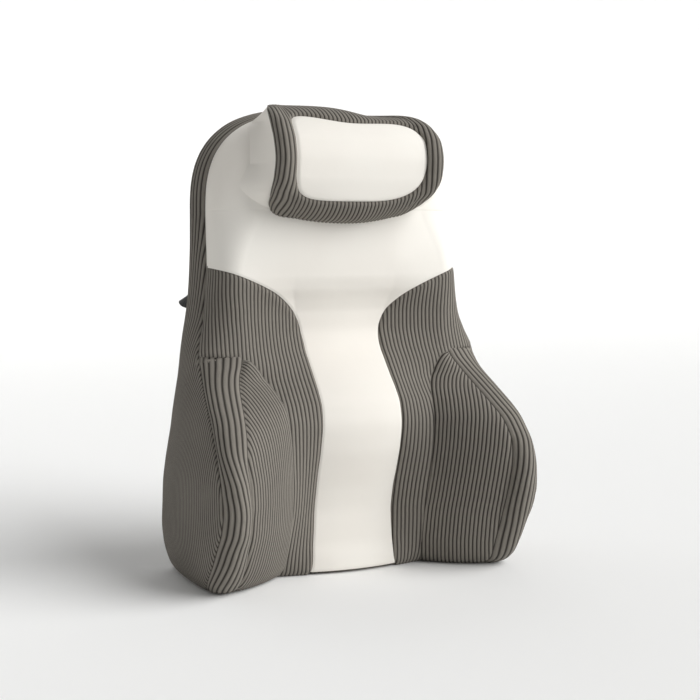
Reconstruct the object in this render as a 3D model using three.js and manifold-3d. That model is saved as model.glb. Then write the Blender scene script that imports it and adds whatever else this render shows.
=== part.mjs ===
// Lumbar support pillow: a tall foam back pad with a cream front, two corduroy side wings,
// a head roll and a slack strap behind. Millimetres, +Z up, the front faces -Y, and the
// origin is on the floor under the middle of the whole.
//
// Depth is measured forward from the flat back panel, and half widths from the middle plane.

import * as THREE from 'three';
import { mergeVertices } from 'three/addons/utils/BufferGeometryUtils.js';
import Module from 'manifold-3d';

const wasm = await Module();
wasm.setup();

// Driving dimensions
const ORIGIN_DEPTH = 95.3;    // how far the origin lies in front of the back panel
const GAP = 0.3;               // clearance between neighbouring pieces
const RIB_PITCH = 6.8;         // wide corduroy wale, crest to crest
const RIB_RISE = 1.2;          // crest above valley
const SKIN = 2.5;              // thickness of a cream cover panel with its foam backing
const POCKET_LIFT = 15;        // how far the cut for a cover panel runs on past it

const ARCH_START = 460;        // height where the straight sides turn into the top arch
const ARCH_BACK = 140;         // rise of the arch at the back panel
const ARCH_SEAM = 133;         // rise of the arch at the front seam
const ARCH_POWER = 2.8;        // roundness of the arch
const BACK_EDGE = 10;          // depth over which the back edge rounds off
const BACK_EDGE_DROP = 6;      // how much narrower the back panel is than the edge beside it
const SLAB = 50;               // depth of the foam slab behind the wings
const WING_TOP = 282;          // height of the band's upper seam
const COLUMN_TOP = 396;        // height where the cream column has reached the pad's edges
const YOKE_SEAM = 466;         // height of the cross seam in the cream front

// The pad's side from floor to arch: the back edge, the seam at the front of the side
// panel, which is the wing band's outer seam lower down, and the panel's swell between.
const SIDE = table(['z', 'backHalf', 'seamHalf', 'seamDepth', 'swell'], [
  [0, 203, 200, 132, 4],
  [4, 207, 206, 138, 5],
  [10, 211, 209, 146, 7],
  [20, 215, 211, 157, 8],
  [40, 220, 212, 176, 9],
  [64, 222, 212, 194, 10],
  [90, 221, 212, 212, 10],
  [116, 220, 212, 221, 10],
  [140, 217, 213, 220, 10],
  [164, 213, 212, 209, 9],
  [186, 209, 209, 188, 8],
  [208, 206, 207, 167, 7],
  [232, 202, 202, 129, 6],
  [256, 198, 196, 95, 5],
  [282, 195, 193, 74, 4],
  [305, 192, 186, 61, 4],
  [330, 188, 179, 52, 4],
  [360, 184, 175, 47, 4],
  [393, 182, 172, 43, 4],
  [430, 181, 170, 35, 4],
  [460, 181, 169, 31, 4],
]);

// The pad's front: its depth at the middle, at the column's seam and at the wing crease.
const FRONT = table(['z', 'middle', 'seamHalf', 'seamDepth', 'creaseHalf', 'creaseDepth'], [
  [0, 98, 61, 96, 106, 92],
  [4, 104, 59, 102, 103, 101],
  [9, 108, 58, 106, 100, 108],
  [16, 110, 57, 107, 98, 114],
  [43, 113, 55.5, 110, 94.5, 125],
  [75, 118, 54, 114, 93.5, 135],
  [107, 126, 54, 121, 95, 143],
  [137, 136, 55, 131, 97, 148],
  [167, 146, 55, 141, 99, 150],
  [197, 151, 54.5, 146, 101, 148],
  [219, 147, 54, 142, 103, 138],
  [238, 135, 53.5, 129, 109, 120],
  [254, 119, 53, 114, 119, 108],
  [270, 103, 53, 99, 134, 105],
  [291, 84, 53, 81, 140, 97],
  [315, 75, 56, 72, 140, 91],
  [334, 76, 62, 73, 140, 89],
  [349, 81, 66, 78, 140, 89],
  [367, 90, 70, 88, 140, 90],
  [383, 95, 70, 93, 139, 91],
  [410, 97, 70, 96, 134, 91],
  [440, 96, 68, 95, 120, 90],
  [460, 95, 66, 94, 110, 89],
]);

// Half width of the cream front, from the foot of the column to the corner of the yoke.
const CREAM = table(['z', 'half'], [
  [0, 61], [16, 57], [43, 55.5], [75, 54], [107, 54], [137, 55], [167, 55], [197, 54.5],
  [219, 54], [238, 53.5], [254, 53], [270, 53], [291, 53], [315, 56], [334, 64], [349, 78],
  [360, 93], [370, 112], [378, 130], [384, 145], [389, 160], [394, 178], [398, 200],
]);

// Inner seam of the wing's band, from its foot to where it dives into the pad's front.
const BAND = table(['z', 'half', 'depth', 'puff'], [
  [0, 178, 147, 7],
  [4, 180, 153, 8],
  [10, 180, 161, 9],
  [24, 177, 172, 11],
  [44, 175, 183, 12],
  [73, 173, 199, 13],
  [98, 173, 213, 13],
  [120, 175, 222, 13],
  [143, 178, 224, 13],
  [170, 180, 217, 13],
  [197, 176, 199, 13],
  [221, 168, 169, 12],
  [245, 159, 134, 11],
  [260, 153, 117, 9],
  [272, 147, 107, 8],
  [282, 144, 101, 6],
  [292, 141, 84, 0],
]);
const BAND_RIBS = 7;
const INNER_PUFF = 5;          // crown of the wing's inner panel
const WING_TUCK = 10;          // how far the inner panel runs on under the pad's surface
const WING_ROOT = 30;          // and how far the wing's hidden root lies inside the pad

// The head roll in level sections: the depth of its face at the middle, how far the face
// falls back towards its ends, the depth of the band's outer seam, and the half width of
// the roll's foot on the pad. Seen from the front its outlines are rounded rectangles.
const ROLL = table(['z', 'middle', 'fall', 'seamDepth', 'footHalf'], [
  [449, 88, 22, 60, 60],
  [453, 112, 26, 68, 78],
  [461, 127, 22, 82, 98],
  [472, 136, 11, 94, 112],
  [486, 143, 5, 110, 123],
  [506, 148, 3, 125, 135],
  [528, 150, 3, 131, 142],
  [550, 143, 3, 127, 142],
  [566, 132, 4, 118, 136],
  [578, 121, 6, 107, 124],
  [587, 110, 10, 96, 108],
  [593, 98, 14, 84, 88],
  [597, 76, 8, 62, 58],
]);
const ROLL_CENTRE = 523;
const ROLL_HALF_HEIGHT = 76;
const ROLL_SEAM_HALF = 113;    // half width at the band's outer seam
const ROLL_PANEL_HALF = 88;    // half width of the cream face panel
const ROLL_POWER = 4;
const ROLL_BAND_PUFF = 12;
const ROLL_BACK = 52;
const ROLL_END_RIBS = 6;
const PANEL_LOW = 477;
const PANEL_HIGH = 583;
const PANEL_POWER = 6;
const PANEL_DIP = 11;          // the face panel's upper edge sags in the middle
const BAND_SKIN = 3;             // thickness of the head roll's ribbed band
const BAND_GAP = 1.2;            // clearance under it

// The strap: webbing sewn in at both side seams, slack behind the back panel.
const STRAP_Z = 355;           // height of its middle line at the seams
const STRAP_WIDTH = 38;
const STRAP_THICK = 2;
const STRAP_HALF = 177;        // from the middle plane to where it leaves the back panel
const STRAP_REACH = 34;        // how far its middle line stands behind the back panel
const STRAP_POWER = 5;         // squareness of its run seen from above
const STRAP_SAG = 12;
const STRAP_LEAN = 58;         // degrees its upper edge leans in at the turns
const STRAP_LEAN_MIDDLE = 30;  // and at the middle
const STRAP_STEPS = 36;

const CREAM_CLOTH = new THREE.MeshStandardMaterial({ color: 0xe3dfd7, roughness: 0.9 });
const CORDUROY = new THREE.MeshStandardMaterial({ color: 0x77726b, roughness: 0.95 });
const WEBBING = new THREE.MeshStandardMaterial({ color: 0x17171a, roughness: 0.8 });

// A table becomes one smooth function of height for each named column.
function table(names, rows) {
  const z = rows.map((row) => row[0]);
  const columns = {};
  names.slice(1).forEach((name, i) => {
    columns[name] = monotone(z, rows.map((row) => row[i + 1]));
  });
  return { ...columns, heights: z };
}

// Piecewise cubic through the points, with no overshoot between them.
function monotone(x, y) {
  const n = x.length;
  const slope = [];
  for (let i = 0; i < n - 1; i++) slope.push((y[i + 1] - y[i]) / (x[i + 1] - x[i]));
  const tangent = [slope[0]];
  for (let i = 1; i < n - 1; i++) {
    const [a, b] = [slope[i - 1], slope[i]];
    tangent.push(a * b <= 0 ? 0 : 2 * a * b / (a + b));
  }
  tangent.push(slope[n - 2]);
  return (at) => {
    const t0 = Math.min(Math.max(at, x[0]), x[n - 1]);
    let i = 0;
    while (i < n - 2 && t0 > x[i + 1]) i++;
    const h = x[i + 1] - x[i];
    const t = (t0 - x[i]) / h;
    return y[i] * (1 + 2 * t) * (1 - t) ** 2 + h * tangent[i] * t * (1 - t) ** 2
      + y[i + 1] * t * t * (3 - 2 * t) + h * tangent[i + 1] * t * t * (t - 1);
  };
}

const clamp01 = (t) => Math.min(1, Math.max(0, t));
const smooth = (t) => clamp01(t) ** 2 * (3 - 2 * clamp01(t));
const rounded = (t, power) => (1 - Math.min(1, Math.abs(t)) ** power) ** (1 / power);
const point = (x, depth, z) => [x, ORIGIN_DEPTH - depth, z];

// Evenly spread values from a to b, both ends included.
function spread(a, b, count) {
  return Array.from({ length: count + 1 }, (_, i) => a + (b - a) * i / count);
}

// Multiples of half a rib pitch strictly between a and b; odd ones are crests. Each may
// stand for several real ribs where the cloth is seen edge on.
function ribMarks(a, b, each = 1) {
  const half = RIB_PITCH / 2 * each;
  const marks = [];
  for (let k = Math.ceil((a + 0.9) / half); k * half < b - 0.9; k++) {
    marks.push({ at: k * half, rise: k % 2 ? RIB_RISE : 0 });
  }
  return marks;
}

// Level of a section: below the arch a level is a plain height; in the arch it runs to 1
// and the section tips, because the front seam's arch is lower than the back panel's.
function level(height) {
  const inArch = Math.max(0, height - ARCH_START) / ARCH_BACK;
  return {
    z: Math.min(height, ARCH_START),
    arch: inArch,
    narrow: rounded(inArch, ARCH_POWER),
  };
}

function heightAt(lev, depth) {
  const rise = ARCH_BACK + (ARCH_SEAM - ARCH_BACK) * clamp01(depth / SIDE.seamDepth(ARCH_START));
  return lev.z + lev.arch * rise;
}

// Half width of the side panel at a level and depth: a straight line from back edge to
// seam, swelled in the middle and rounded in at the back.
function sideHalf(lev, depth) {
  const t = depth / SIDE.seamDepth(lev.z);
  const back = SIDE.backHalf(lev.z);
  const line = back + (SIDE.seamHalf(lev.z) - back) * t;
  const roundIn = BACK_EDGE_DROP * (1 - clamp01(depth / BACK_EDGE)) ** 2;
  return (line + SIDE.swell(lev.z) * 4 * t * (1 - t) - roundIn) * lev.narrow;
}

// Depth at which the pad's front starts: the seam, or the slab's edge under a wing.
function edgeDepth(lev) {
  const underWing = SLAB + (SIDE.seamDepth(WING_TOP) - SLAB) * smooth((lev.z - 215) / 67);
  return lev.z < WING_TOP ? underWing : SIDE.seamDepth(lev.z);
}

// Depth of the pad's front: a crowned column, side panels that rise to the wing crease,
// then a round edge down to the seam.
function frontDepth(lev, x) {
  const edge = edgeDepth(lev);
  const [seamHalf, creaseHalf] = [FRONT.seamHalf(lev.z), FRONT.creaseHalf(lev.z)];
  const [middle, seam, crease] = [FRONT.middle(lev.z), FRONT.seamDepth(lev.z), FRONT.creaseDepth(lev.z)];
  const half = sideHalf(lev, edge) / lev.narrow;
  const across = Math.abs(x) / lev.narrow;
  let depth;
  if (across < seamHalf) {
    depth = middle + (seam - middle) * (across / seamHalf) ** 2;
  } else if (across < creaseHalf) {
    const t = (across - seamHalf) / (creaseHalf - seamHalf);
    depth = seam + (crease - seam) * t;
  } else {
    const t = clamp01((across - creaseHalf) / (half - creaseHalf));
    depth = edge + (crease - edge) * Math.sqrt(1 - t ** 2.2);
  }
  return edge + (depth - edge) * Math.sqrt(1 - lev.arch ** 6);
}

// Joins two rows of points into a strip of triangles. Each row's points carry a mark u
// that rises along the row, and the strip keeps points of like mark together.
function zip(rowA, rowB, triangles) {
  let [i, j] = [0, 0];
  while (i < rowA.length - 1 || j < rowB.length - 1) {
    const canA = i < rowA.length - 1;
    const canB = j < rowB.length - 1;
    const useA = canA && (!canB || rowA[i + 1].u <= rowB[j + 1].u + 1e-6 * (i - j));
    if (useA) {
      triangles.push([rowA[i].p, rowA[i + 1].p, rowB[j].p]);
      i++;
    } else {
      triangles.push([rowA[i].p, rowB[j + 1].p, rowB[j].p]);
      j++;
    }
  }
}

// A closed solid from a stack of loops. Each loop is a list of rows that run on from one
// another around the section, counterclockwise from above; the ends are capped.
function stack(loops) {
  const triangles = [];
  for (let k = 0; k < loops.length - 1; k++) {
    loops[k].forEach((row, r) => zip(row, loops[k + 1][r], triangles));
  }
  const cap = (loop, flip) => {
    const ring = loop.flatMap((row) => row.slice(0, -1).map((q) => q.p));
    const flat = ring.map((p) => new THREE.Vector2(p[0], p[1]));
    for (const [a, b, c] of THREE.ShapeUtils.triangulateShape(flat, [])) {
      triangles.push(flip ? [ring[c], ring[b], ring[a]] : [ring[a], ring[b], ring[c]]);
    }
  };
  cap(loops[0], true);
  cap(loops[loops.length - 1], false);
  return toManifold(triangles);
}

function toManifold(triangles) {
  const geometry = new THREE.BufferGeometry();
  geometry.setAttribute('position', new THREE.Float32BufferAttribute(triangles.flat(2), 3));
  const merged = mergeVertices(geometry, 1e-3);
  const index = Array.from(merged.index.array);
  const kept = [];
  for (let i = 0; i < index.length; i += 3) {
    const [a, b, c] = index.slice(i, i + 3);
    if (a !== b && b !== c && c !== a) kept.push(a, b, c);
  }
  return new wasm.Manifold(new wasm.Mesh({
    numProp: 3,
    vertProperties: new Float32Array(merged.attributes.position.array),
    triVerts: new Uint32Array(kept),
  }));
}

// A prism along the depth: an outline of [x, z] points run from one depth to another.
function prism(outline, depthFrom, depthTo) {
  const shape = new THREE.Shape(outline.map(([x, z]) => new THREE.Vector2(x, z)));
  const geometry = new THREE.ExtrudeGeometry(shape, { depth: depthTo - depthFrom, bevelEnabled: false });
  geometry.rotateX(Math.PI / 2);
  geometry.translate(0, ORIGIN_DEPTH - depthFrom, 0);
  geometry.deleteAttribute('normal');
  geometry.deleteAttribute('uv');
  const merged = mergeVertices(geometry, 1e-3);
  return new wasm.Manifold(new wasm.Mesh({
    numProp: 3,
    vertProperties: new Float32Array(merged.attributes.position.array),
    triVerts: new Uint32Array(merged.index.array),
  }));
}

// Heights of the pad's sections.
const PAD_LEVELS = [
  0, 5, 14, 34, 70, 110, 145, 176, 204, 228, 248, 266, 286, 308, 332, 352, 372, 396, 430, 460,
  490, 517, 540, 559, 574, 586, 596,
];

// Marks across a smooth front: the column, the side panel up to the crease, and shares of
// the round edge from the crease to the seam.
const EDGE_SHARES = [0.3, 0.55, 0.75, 0.9, 0.98, 1];
function smoothMarks(lev) {
  const half = sideHalf(lev, edgeDepth(lev));
  const [seam, crease] = [FRONT.seamHalf(lev.z) * lev.narrow, FRONT.creaseHalf(lev.z) * lev.narrow];
  return [0, seam / 2, seam, (seam + crease) / 2, crease,
    ...EDGE_SHARES.map((share) => crease + (half - crease) * share)];
}
const SMOOTH_U = smoothMarks(level(COLUMN_TOP));

// Marks across a ribbed front: ribs on the corduroy, plain under the cream column and on
// the round edge that a wing hides.
function ribbedMarks(height) {
  const lev = level(height);
  const half = sideHalf(lev, edgeDepth(lev));
  const ribsTo = height < WING_TOP ? FRONT.creaseHalf(height) + 9 : half;
  const rest = half - ribsTo;
  const plain = rest > 0 ? [0.15, 0.4, 0.62, 0.8, 0.93].map((share) => ribsTo + rest * share) : [];
  return [{ at: 0, rise: 0 }, { at: 22, rise: 0 }, ...ribMarks(42, ribsTo),
    ...[...plain, half].map((at) => ({ at, rise: 0 }))];
}

// One row across the pad's front, left to right.
function frontRow(height, { ribbed = false, grow = 0, drop = 0 }) {
  const lev = level(height);
  const marks = ribbed && height < COLUMN_TOP + 2
    ? ribbedMarks(height).map((mark) => ({ ...mark, u: mark.at }))
    : smoothMarks(lev).map((at, i) => ({ at, rise: 0, u: SMOOTH_U[i] }));
  const side = (sign) => marks.map(({ at, rise, u }) => {
    const depth = frontDepth(lev, at) + rise + grow - drop;
    return { u: sign * u, p: point(sign * at, depth, heightAt(lev, edgeDepth(lev))) };
  });
  return [...side(-1).reverse(), ...side(1).slice(1)];
}

// The side panel's row at a level, from the front seam to the back panel.
function sideRow(height, sign, { ribbed, grow, drop }) {
  const lev = level(height);
  const edge = edgeDepth(lev);
  const marks = ribbed ? ribMarks(0, edge, height < WING_TOP ? 2 : 1)
    : spread(0, edge, 3).slice(1, -1).map((at) => ({ at, rise: 0 }));
  const row = [{ at: 0, rise: 0 }, ...marks, { at: edge, rise: 0 }].map(({ at, rise }, i, all) => {
    const last = i === all.length - 1;
    const depth = last ? at + grow - drop : i === 0 ? at - grow : at;
    const x = sign * (sideHalf(lev, at) + rise + grow);
    return { u: at, p: point(last ? sign * sideHalf(lev, at) + 0 : x, depth, heightAt(lev, at)) };
  });
  if (sign > 0) return row.reverse().map((q) => ({ ...q, u: -q.u }));
  return row;
}

// The whole back pad as one solid. Grow swells it by a clearance, drop sinks its front.
function padSolid({ ribbed = false, grow = 0, drop = 0 }) {
  const options = { ribbed, grow, drop };
  const loops = PAD_LEVELS.map((height) => {
    const front = frontRow(height, options);
    const right = sideRow(height, 1, options);
    const left = sideRow(height, -1, options);
    const last = (row) => row[row.length - 1];
    right[0] = { ...right[0], p: last(front).p };
    left[left.length - 1] = { ...last(left), p: front[0].p };
    const back = [{ u: 0, p: last(right).p }, { u: 1, p: left[0].p }];
    return [front, right, back, left];
  });
  return stack(loops);
}

// The pad's front as a sheet, from a lift above it to a drop below it. Past runs the sheet
// out beyond the pad's edges all round, so that it cuts them clean.
function frontSheet({ lift = 0, drop, past = 0 }) {
  const widened = (row) => {
    const [first, last] = [row[0], row[row.length - 1]];
    const moved = (q, by) => ({ u: q.u + by, p: [q.p[0] + by, q.p[1], q.p[2]] });
    return past ? [moved(first, -past), ...row, moved(last, past)] : row;
  };
  const loops = PAD_LEVELS.map((height) => {
    const upper = widened(frontRow(height, { drop: -lift }));
    const under = widened(frontRow(height, { drop }));
    const last = upper.length - 1;
    const right = [{ u: 0, p: upper[last].p }, { u: 1, p: under[last].p }];
    const left = [{ u: 0, p: under[0].p }, { u: 1, p: upper[0].p }];
    return [upper, right, under.reverse().map((q) => ({ ...q, u: -q.u })), left];
  });
  if (past) {
    const shifted = (loop, by) => loop.map((row) => row.map(({ u, p: [x, y, z] }) => (
      { u, p: [x, y, z + by] })));
    loops.unshift(shifted(loops[0], -past));
    loops.push(shifted(loops[loops.length - 1], past));
  }
  return stack(loops);
}

// Outline of the cream front seen from the front, opened out by a clearance.
function creamOutline(clearance) {
  const low = -5;
  const heights = spread(low, COLUMN_TOP + 2, 80);
  const right = heights.map((z) => [CREAM.half(z + clearance) + clearance, z]);
  const top = [[260, COLUMN_TOP + 4], [260, 640]];
  const left = [...right, ...top].reverse().map(([x, z]) => [-x, z]);
  return [...right, ...top, ...left];
}

// The wing's section at a height: from its root inside the pad over the crease, across
// the inner panel to the band, round the band, and back along the outer panel.
function wingLoop(height) {
  const lev = level(height);
  const crease = [FRONT.creaseHalf(height), FRONT.creaseDepth(height)];
  const inner = [BAND.half(height), BAND.depth(height)];
  const outer = [sideHalf(lev, SIDE.seamDepth(height)), SIDE.seamDepth(height)];
  const rootPoint = [crease[0] - WING_ROOT, crease[1] - 0.75 * WING_ROOT];
  const at = ([x, depth]) => point(x, depth, height);

  const [across, length] = direction(crease, inner);
  const outward = [-across[1], across[0]];
  const inSpan = [{ at: -WING_TUCK, rise: 0 }, ...ribMarks(0, length), { at: length, rise: 0 }];
  const innerRow = inSpan.map(({ at: u, rise }) => {
    const lift = rise + INNER_PUFF * 4 * (u / length) * (1 - u / length);
    return { u, p: at([0, 1].map((k) => crease[k] + across[k] * u + outward[k] * lift)) };
  });

  const [chord, width] = direction(inner, outer);
  const bulge = [-chord[1], chord[0]];
  const bandRow = spread(0, 1, 2 * BAND_RIBS).map((t, i) => {
    const lift = BAND.puff(height) * 4 * t * (1 - t) + (i % 2 ? RIB_RISE : 0);
    return { u: t, p: at([0, 1].map((k) => inner[k] + chord[k] * width * t + bulge[k] * lift)) };
  });

  const from = edgeDepth(lev) - 20;
  const outerMarks = [{ at: from, rise: 0 }, ...ribMarks(from, outer[1], 2), { at: outer[1], rise: 0 }];
  const outerRow = outerMarks.reverse().map(({ at: depth, rise }) => (
    { u: -depth, p: at([sideHalf(lev, depth) + rise, depth]) }
  ));
  const last = (row) => row[row.length - 1];
  const hidden = [
    { u: 0, p: last(outerRow).p },
    { u: 1, p: at([rootPoint[0] + 40, from]) },
    { u: 2, p: at(rootPoint) },
  ];
  const root = [{ u: 0, p: at(rootPoint) }, { u: 1, p: innerRow[0].p }];
  return [root, innerRow, bandRow, outerRow, hidden];
}

function direction(from, to) {
  const d = [to[0] - from[0], to[1] - from[1]];
  const length = Math.hypot(...d);
  return [[d[0] / length, d[1] / length], length];
}

const WING_LEVELS = [0, 4, 12, 30, 64, 104, 140, 174, 202, 226, 246, 262, 274, 283, 292];

// The head roll as one solid. Shrink draws it in all round by a skin's thickness.
function rollSolid({ ribbed = false, shrink = 0 }) {
  const squeeze = 1 - shrink / ROLL_HALF_HEIGHT;
  const loops = ROLL.heights.map((height) => {
    const z = ROLL_CENTRE + (height - ROLL_CENTRE) * squeeze;
    const round = rounded((height - ROLL_CENTRE) / (ROLL_HALF_HEIGHT + 0.5), ROLL_POWER);
    const face = ROLL.middle(height) - shrink;
    const faceHalf = (ROLL_PANEL_HALF - 0.4 * shrink) * round;
    const seamDepth = Math.max(ROLL.seamDepth(height) - shrink, ROLL_BACK + 3);
    const seam = [(ROLL_SEAM_HALF - shrink) * round, seamDepth];
    const foot = [Math.max(ROLL.footHalf(height), seam[0] + 3 + shrink) - shrink, ROLL_BACK + 1];
    const crown = (x) => face - ROLL.fall(height) * (x / faceHalf) ** 2;
    const faceMarks = ribbed ? [{ at: 0, rise: 0 }, ...ribMarks(1, faceHalf)]
      : [0, 0.3, 0.6, 0.85].map((share) => ({ at: share * faceHalf, rise: 0 }));
    const halfFace = [...faceMarks, { at: faceHalf, rise: 0 }].map(({ at: x, rise }) => [x, crown(x) + rise]);
    const start = [faceHalf, crown(faceHalf)];
    const [chord, width] = direction(start, seam);
    const steps = ribbed ? 2 * ROLL_END_RIBS : 5;
    const end = spread(0, 1, steps).map((t, i) => {
      const lift = ROLL_BAND_PUFF * round * 4 * t * (1 - t) + (ribbed && i % 2 ? RIB_RISE : 0);
      const along = width * t;
      return [start[0] + chord[0] * along - chord[1] * lift, start[1] + chord[1] * along + chord[0] * lift];
    });
    const flare = spread(0, 1, 4).map((t) => [
      seam[0] + (foot[0] - seam[0]) * t ** 1.6, seam[1] + (foot[1] - seam[1]) * t,
    ]);
    const half = (row, useX) => row.map(([x, depth], i) => ({ u: useX ? x : i, p: point(x, depth, z) }));
    const mirror = (row) => row.map(({ u, p }) => ({ u: -u, p: [-p[0], p[1], p[2]] })).reverse();
    const [faceRow, endRow, flareRow] = [half(halfFace, ribbed), half(end, false), half(flare, false)];
    const wholeFace = [...mirror(faceRow), ...faceRow.slice(1)];
    const back = [{ u: 0, p: point(foot[0], foot[1], z) }, { u: 1, p: point(-foot[0], foot[1], z) }];
    return [wholeFace, endRow, flareRow, back, mirror(flareRow), mirror(endRow)];
  });
  return stack(loops);
}

// Rounded rectangle seen from the front, as [x, z] points.
function roundedOutline(half, low, high, power, dip) {
  const middle = (low + high) / 2;
  const rise = (high - low) / 2;
  return spread(0, 2 * Math.PI, 48).slice(0, -1).map((angle) => {
    const [c, s] = [Math.cos(angle), Math.sin(angle)];
    const x = half * Math.sign(c) * Math.abs(c) ** (2 / power);
    const z = middle + rise * Math.sign(s) * Math.abs(s) ** (2 / power);
    const sink = s > 0 ? dip * (0.5 + 0.5 * Math.cos(Math.PI * x / half)) : 0;
    return [x, z - sink];
  });
}

// A point on the strap's middle line; turn runs from 0 at the right seam to 1 at the left.
function strapLine(turn) {
  const [c, s] = [Math.cos(Math.PI * turn), Math.sin(Math.PI * turn)];
  const x = STRAP_HALF * Math.sign(c) * Math.abs(c) ** (2 / STRAP_POWER);
  const depth = -GAP - STRAP_REACH * Math.max(s, 0) ** (2 / STRAP_POWER);
  return new THREE.Vector3(...point(x, depth, STRAP_Z - STRAP_SAG * Math.max(s, 0) ** 2));
}

// The strap as a chain of rectangles. It leaves each seam upright, its upper edge leans in
// towards the back at the turns, and it crosses behind with a sag.
function strapSolid() {
  const up = new THREE.Vector3(0, 0, 1);
  const rings = spread(0, 1, STRAP_STEPS).map((share) => {
    const turn = 0.5 - 0.5 * Math.cos(Math.PI * share);
    const end = turn < 1e-6 || turn > 1 - 1e-6;
    const ahead = strapLine(Math.min(1, turn + 1e-3));
    const run = ahead.sub(strapLine(Math.max(0, turn - 1e-3))).setZ(0).normalize();
    if (end) run.set(0, turn < 0.5 ? 1 : -1, 0);
    const outward = new THREE.Vector3().crossVectors(run, up).normalize();
    const fromEnd = Math.min(turn, 1 - turn);
    const lean = STRAP_LEAN * smooth(fromEnd / 0.06)
      + (STRAP_LEAN_MIDDLE - STRAP_LEAN) * smooth((fromEnd - 0.1) / 0.4);
    const angle = THREE.MathUtils.degToRad(lean);
    const across = up.clone().multiplyScalar(Math.cos(angle)).addScaledVector(outward, -Math.sin(angle));
    const through = new THREE.Vector3().crossVectors(run, across).normalize();
    return [[-1, -1], [1, -1], [1, 1], [-1, 1]].map(([a, b]) => strapLine(turn)
      .addScaledVector(across, a * STRAP_WIDTH / 2).addScaledVector(through, b * STRAP_THICK / 2).toArray());
  });
  const triangles = [];
  for (let k = 0; k < rings.length - 1; k++) {
    for (let i = 0; i < 4; i++) {
      const [a, b] = [rings[k][i], rings[k][(i + 1) % 4]];
      const [c, d] = [rings[k + 1][(i + 1) % 4], rings[k + 1][i]];
      triangles.push([a, b, c], [a, c, d]);
    }
  }
  const [first, last] = [rings[0], rings[rings.length - 1]];
  triangles.push([first[0], first[2], first[1]], [first[0], first[3], first[2]]);
  triangles.push([last[0], last[1], last[2]], [last[0], last[2], last[3]]);
  return toManifold(triangles);
}

// A cut may leave crumbs where two ribbed faces skim each other: only the piece is kept.
function largest(solid) {
  return solid.decompose().sort((a, b) => b.volume() - a.volume())[0];
}

function pieceFrom(name, solid, material) {
  const { vertProperties, triVerts } = solid.getMesh();
  const geometry = new THREE.BufferGeometry();
  geometry.setAttribute('position', new THREE.BufferAttribute(vertProperties, 3));
  geometry.setIndex(new THREE.BufferAttribute(triVerts, 1));
  geometry.computeVertexNormals();
  const mesh = new THREE.Mesh(geometry, material);
  mesh.name = name;
  return mesh;
}

// The pad with its pocket for the cream cover, and the cover itself in two lengths.
const pocket = frontSheet({ lift: POCKET_LIFT, drop: SKIN + GAP, past: POCKET_LIFT })
  .intersect(prism(creamOutline(GAP), 10, 300));
const pad = padSolid({ ribbed: true }).subtract(pocket);
const cover = frontSheet({ drop: SKIN }).intersect(prism(creamOutline(0), 10, 300));
const band = (from, to) => prism([[-300, from], [300, from], [300, to], [-300, to]], 10, 320);
const column = cover.intersect(band(-20, YOKE_SEAM));
const yoke = cover.intersect(band(YOKE_SEAM + GAP, 620));

// The wings sit on the front of the pad.
const padAndGap = padSolid({ ribbed: true, grow: GAP });
const wing = stack(WING_LEVELS.map(wingLoop));
const wingRight = largest(wing.subtract(padAndGap));
const wingLeft = largest(wing.mirror([1, 0, 0]).subtract(padAndGap));

// The head roll sits on the cream cover; its corduroy band is let into it.
const coverAndGap = padSolid({ grow: GAP });
const ringReach = ROLL_HALF_HEIGHT + 4;
const ringOutline = (clearance) => roundedOutline(
  ROLL_SEAM_HALF + clearance, ROLL_CENTRE - ringReach, ROLL_CENTRE + ringReach, ROLL_POWER, 0);
const panelOutline = (clearance) => roundedOutline(
  ROLL_PANEL_HALF - clearance, PANEL_LOW + clearance, PANEL_HIGH - clearance, PANEL_POWER, PANEL_DIP);
const ring = (clearance) => prism(ringOutline(clearance), 20, 300)
  .subtract(prism(panelOutline(clearance), 10, 320));
const rollBand = rollSolid({ ribbed: true }).intersect(ring(0))
  .subtract(rollSolid({ shrink: BAND_SKIN })).subtract(coverAndGap);
const rollBody = rollSolid({}).subtract(ring(GAP).subtract(rollSolid({ shrink: BAND_SKIN + BAND_GAP })))
  .subtract(coverAndGap);

const pillow = new THREE.Group();
pillow.add(
  pieceFrom('back_pad', largest(pad), CORDUROY),
  pieceFrom('front_column', largest(column), CREAM_CLOTH),
  pieceFrom('front_yoke', largest(yoke), CREAM_CLOTH),
  pieceFrom('wing_right', wingRight, CORDUROY),
  pieceFrom('wing_left', wingLeft, CORDUROY),
  pieceFrom('head_roll', largest(rollBody), CREAM_CLOTH),
  pieceFrom('head_roll_band', largest(rollBand), CORDUROY),
  pieceFrom('strap', strapSolid(), WEBBING),
);

export default pillow;
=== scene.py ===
# Lumbar support pillow: a tall foam back pad with a cream front, two corduroy wings, a head
# roll and a slack strap behind, standing on its foot.
#
# Shapes are worked out in millimetres: x to the right, depth forward from the flat back,
# and height. Every mesh is then stored in metres in the shared frame.

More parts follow.
